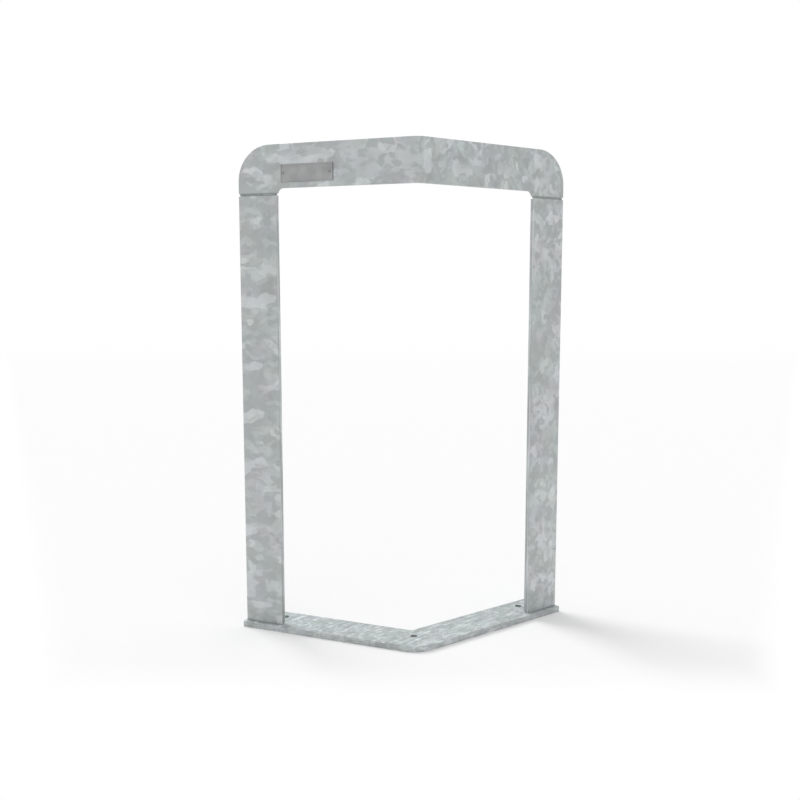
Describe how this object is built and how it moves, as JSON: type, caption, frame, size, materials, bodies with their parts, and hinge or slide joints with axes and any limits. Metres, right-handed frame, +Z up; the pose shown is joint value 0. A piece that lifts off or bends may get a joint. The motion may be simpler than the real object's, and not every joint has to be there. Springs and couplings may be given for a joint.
{
  "type": "hoop bike rack",
  "caption": "Bike rack: a hoop of flat galvanised steel bar, folded to a V in plan and welded to a flat V-shaped base plate with anchor holes.",
  "frame": {"origin": "on the ground, at the middle of the rack's outline seen from above", "axes": "+Z up; the fold of the hoop points along -Y and both arms run back towards +Y; +X is to the right seen from the fold's side, and the rack is the same on both sides of X = 0 but for the small plate on the left arm"},
  "size_m": [0.5686, 0.2174, 0.82],
  "materials": {
    "galvanised_steel": "hot-dip galvanised, matte, with visible zinc spangle",
    "weld": "galvanised weld bead, duller and darker than the bar",
    "name_plate": "matte cast plate, bare",
    "rivet": "satin"
  },
  "bodies": {
    "root": {"base_plate": "galvanised_steel", "left_leg": "galvanised_steel", "right_leg": "galvanised_steel", "top_bar": "galvanised_steel", "left_foot_weld": "weld", "right_foot_weld": "weld", "left_top_weld": "weld", "right_top_weld": "weld", "name_plate": "name_plate", "name_plate_rivets": "rivet"}
  },
  "joints": []
}
